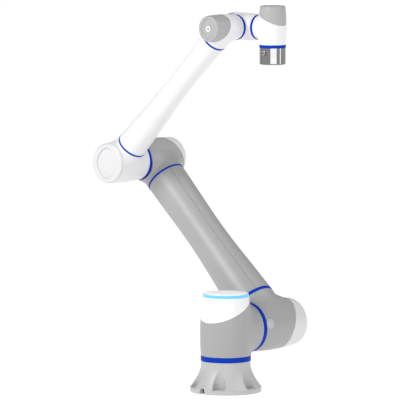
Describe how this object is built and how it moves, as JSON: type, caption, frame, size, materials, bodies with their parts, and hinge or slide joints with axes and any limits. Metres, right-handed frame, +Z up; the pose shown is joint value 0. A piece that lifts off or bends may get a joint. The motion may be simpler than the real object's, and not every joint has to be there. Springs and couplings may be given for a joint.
{
  "type": "collaborative robot arm",
  "caption": "Jointed robot arm on a bolted base: column, lower arm, forearm and a folding wrist of stubby round housings that ends in a flat tool flange.",
  "frame": {"origin": "centre of the base's underside, on the axis of the first joint", "axes": "+Z up along the first joint's axis; +Y along the second joint's axis, from the column to the hip; +X the way the forearm reaches at rest"},
  "size_m": [0.7917, 0.4994, 1.4167],
  "materials": {
    "casting_grey": "satin",
    "casting_white": "satin",
    "base_grey": "satin",
    "cap_white": "satin",
    "cap_grey": "satin",
    "ring_blue": "gloss",
    "status_light": "gloss",
    "tool_steel": "polished",
    "drive_steel": "satin",
    "motor_copper": "satin",
    "screw_steel": "satin",
    "plate_alu": "satin",
    "connector_metal": "satin"
  },
  "bodies": {
    "base": {"base_casting": "base_grey", "base_bottom_plate": "plate_alu", "base_plate_screws": "screw_steel", "earth_screw": "screw_steel", "joint_1_ring": "ring_blue", "joint_1_output_flange": "drive_steel"},
    "column": {"column_housing": "casting_grey", "column_cap": "cap_white", "column_lid": "cap_white", "status_light_ring": "status_light", "joint_1_gear_unit": "drive_steel", "joint_1_stator": "motor_copper", "joint_2_ring": "ring_blue", "joint_2_output_flange": "drive_steel"},
    "lower_arm": {"hip_housing": "casting_grey", "hip_cap": "cap_white", "hip_trim_ring": "ring_blue", "lower_arm_tube": "casting_grey", "elbow_trim_ring": "ring_blue", "elbow_housing": "casting_grey", "elbow_cap": "cap_white", "joint_2_gear_unit": "drive_steel", "joint_2_stator": "motor_copper", "joint_3_gear_unit": "drive_steel", "joint_3_stator": "motor_copper"},
    "forearm": {"joint_3_ring": "ring_blue", "joint_3_output_flange": "drive_steel", "elbow_cover_housing": "casting_white", "elbow_cover_cap": "cap_white", "forearm_trim_ring": "ring_blue", "forearm_tube": "casting_white", "wrist_trim_ring": "ring_blue", "wrist_1_housing": "casting_white", "wrist_1_cap": "cap_grey", "wrist_plug": "cap_white", "joint_4_gear_unit": "drive_steel", "joint_4_stator": "motor_copper"},
    "wrist_2": {"joint_4_ring": "ring_blue", "joint_4_output_flange": "drive_steel", "wrist_2_housing": "casting_white", "wrist_2_cap": "cap_grey", "joint_5_gear_unit": "drive_steel", "joint_5_stator": "motor_copper"},
    "wrist_3": {"joint_5_ring": "ring_blue", "joint_5_output_flange": "drive_steel", "wrist_3_housing": "casting_white", "wrist_3_cap": "cap_grey", "joint_6_gear_unit": "drive_steel", "joint_6_stator": "motor_copper"},
    "tool": {"joint_6_ring": "ring_blue", "joint_6_output_flange": "drive_steel", "tool_flange": "tool_steel", "tool_connector": "connector_metal"},
    "rotor_1": {"joint_1_rotor": "drive_steel"},
    "rotor_2": {"joint_2_rotor": "drive_steel"},
    "rotor_3": {"joint_3_rotor": "drive_steel"},
    "rotor_4": {"joint_4_rotor": "drive_steel"},
    "rotor_5": {"joint_5_rotor": "drive_steel"},
    "rotor_6": {"joint_6_rotor": "drive_steel"}
  },
  "joints": [
    {"name": "base_turn", "type": "hinge", "parent": "base", "child": "column", "pos_m": [0, 0, 0.1234], "axis": [0, 0, 1], "range_deg": [-360, 360]},
    {"name": "shoulder_lift", "type": "hinge", "parent": "column", "child": "lower_arm", "pos_m": [0, 0.118, 0.226], "axis": [0, 1, 0], "range_deg": [-360, 360]},
    {"name": "elbow_bend", "type": "hinge", "parent": "lower_arm", "child": "forearm", "pos_m": [-0.58124, 0.148, 0.80724], "axis": [0, 1, 0], "range_deg": [-250, 65]},
    {"name": "wrist_1_bend", "type": "hinge", "parent": "forearm", "child": "wrist_2", "pos_m": [-0.05374, 0.113, 1.33474], "axis": [0, 1, 0], "range_deg": [-360, 360]},
    {"name": "wrist_2_turn", "type": "hinge", "parent": "wrist_2", "child": "wrist_3", "pos_m": [0.01366, 0.17, 1.33474], "axis": [1, 0, 0], "range_deg": [-360, 360]},
    {"name": "tool_turn", "type": "hinge", "parent": "wrist_3", "child": "tool", "pos_m": [0.07826, 0.17, 1.26734], "axis": [0, 0, -1], "range_deg": [-360, 360]},
    {"name": "rotor_1_spin", "type": "hinge", "parent": "column", "child": "rotor_1", "pos_m": [0, 0, 0.1234], "axis": [0, 0, 1], "range_deg": [-36360, 36360]},
    {"name": "rotor_2_spin", "type": "hinge", "parent": "lower_arm", "child": "rotor_2", "pos_m": [0, 0.118, 0.226], "axis": [0, 1, 0], "range_deg": [-36360, 36360]},
    {"name": "rotor_3_spin", "type": "hinge", "parent": "lower_arm", "child": "rotor_3", "pos_m": [-0.58124, 0.148, 0.80724], "axis": [0, 1, 0], "range_deg": [-25250, 25250]},
    {"name": "rotor_4_spin", "type": "hinge", "parent": "forearm", "child": "rotor_4", "pos_m": [-0.05374, 0.113, 1.33474], "axis": [0, 1, 0], "range_deg": [-36360, 36360]},
    {"name": "rotor_5_spin", "type": "hinge", "parent": "wrist_2", "child": "rotor_5", "pos_m": [0.01366, 0.17, 1.33474], "axis": [1, 0, 0], "range_deg": [-36360, 36360]},
    {"name": "rotor_6_spin", "type": "hinge", "parent": "wrist_3", "child": "rotor_6", "pos_m": [0.07826, 0.17, 1.26734], "axis": [0, 0, -1], "range_deg": [-36360, 36360]}
  ],
  "couplings": [
    {"joint": "rotor_1_spin", "follows": "base_turn", "ratio": 101},
    {"joint": "rotor_2_spin", "follows": "shoulder_lift", "ratio": 101},
    {"joint": "rotor_3_spin", "follows": "elbow_bend", "ratio": -101},
    {"joint": "rotor_4_spin", "follows": "wrist_1_bend", "ratio": -101},
    {"joint": "rotor_5_spin", "follows": "wrist_2_turn", "ratio": -101},
    {"joint": "rotor_6_spin", "follows": "tool_turn", "ratio": -101}
  ]
}
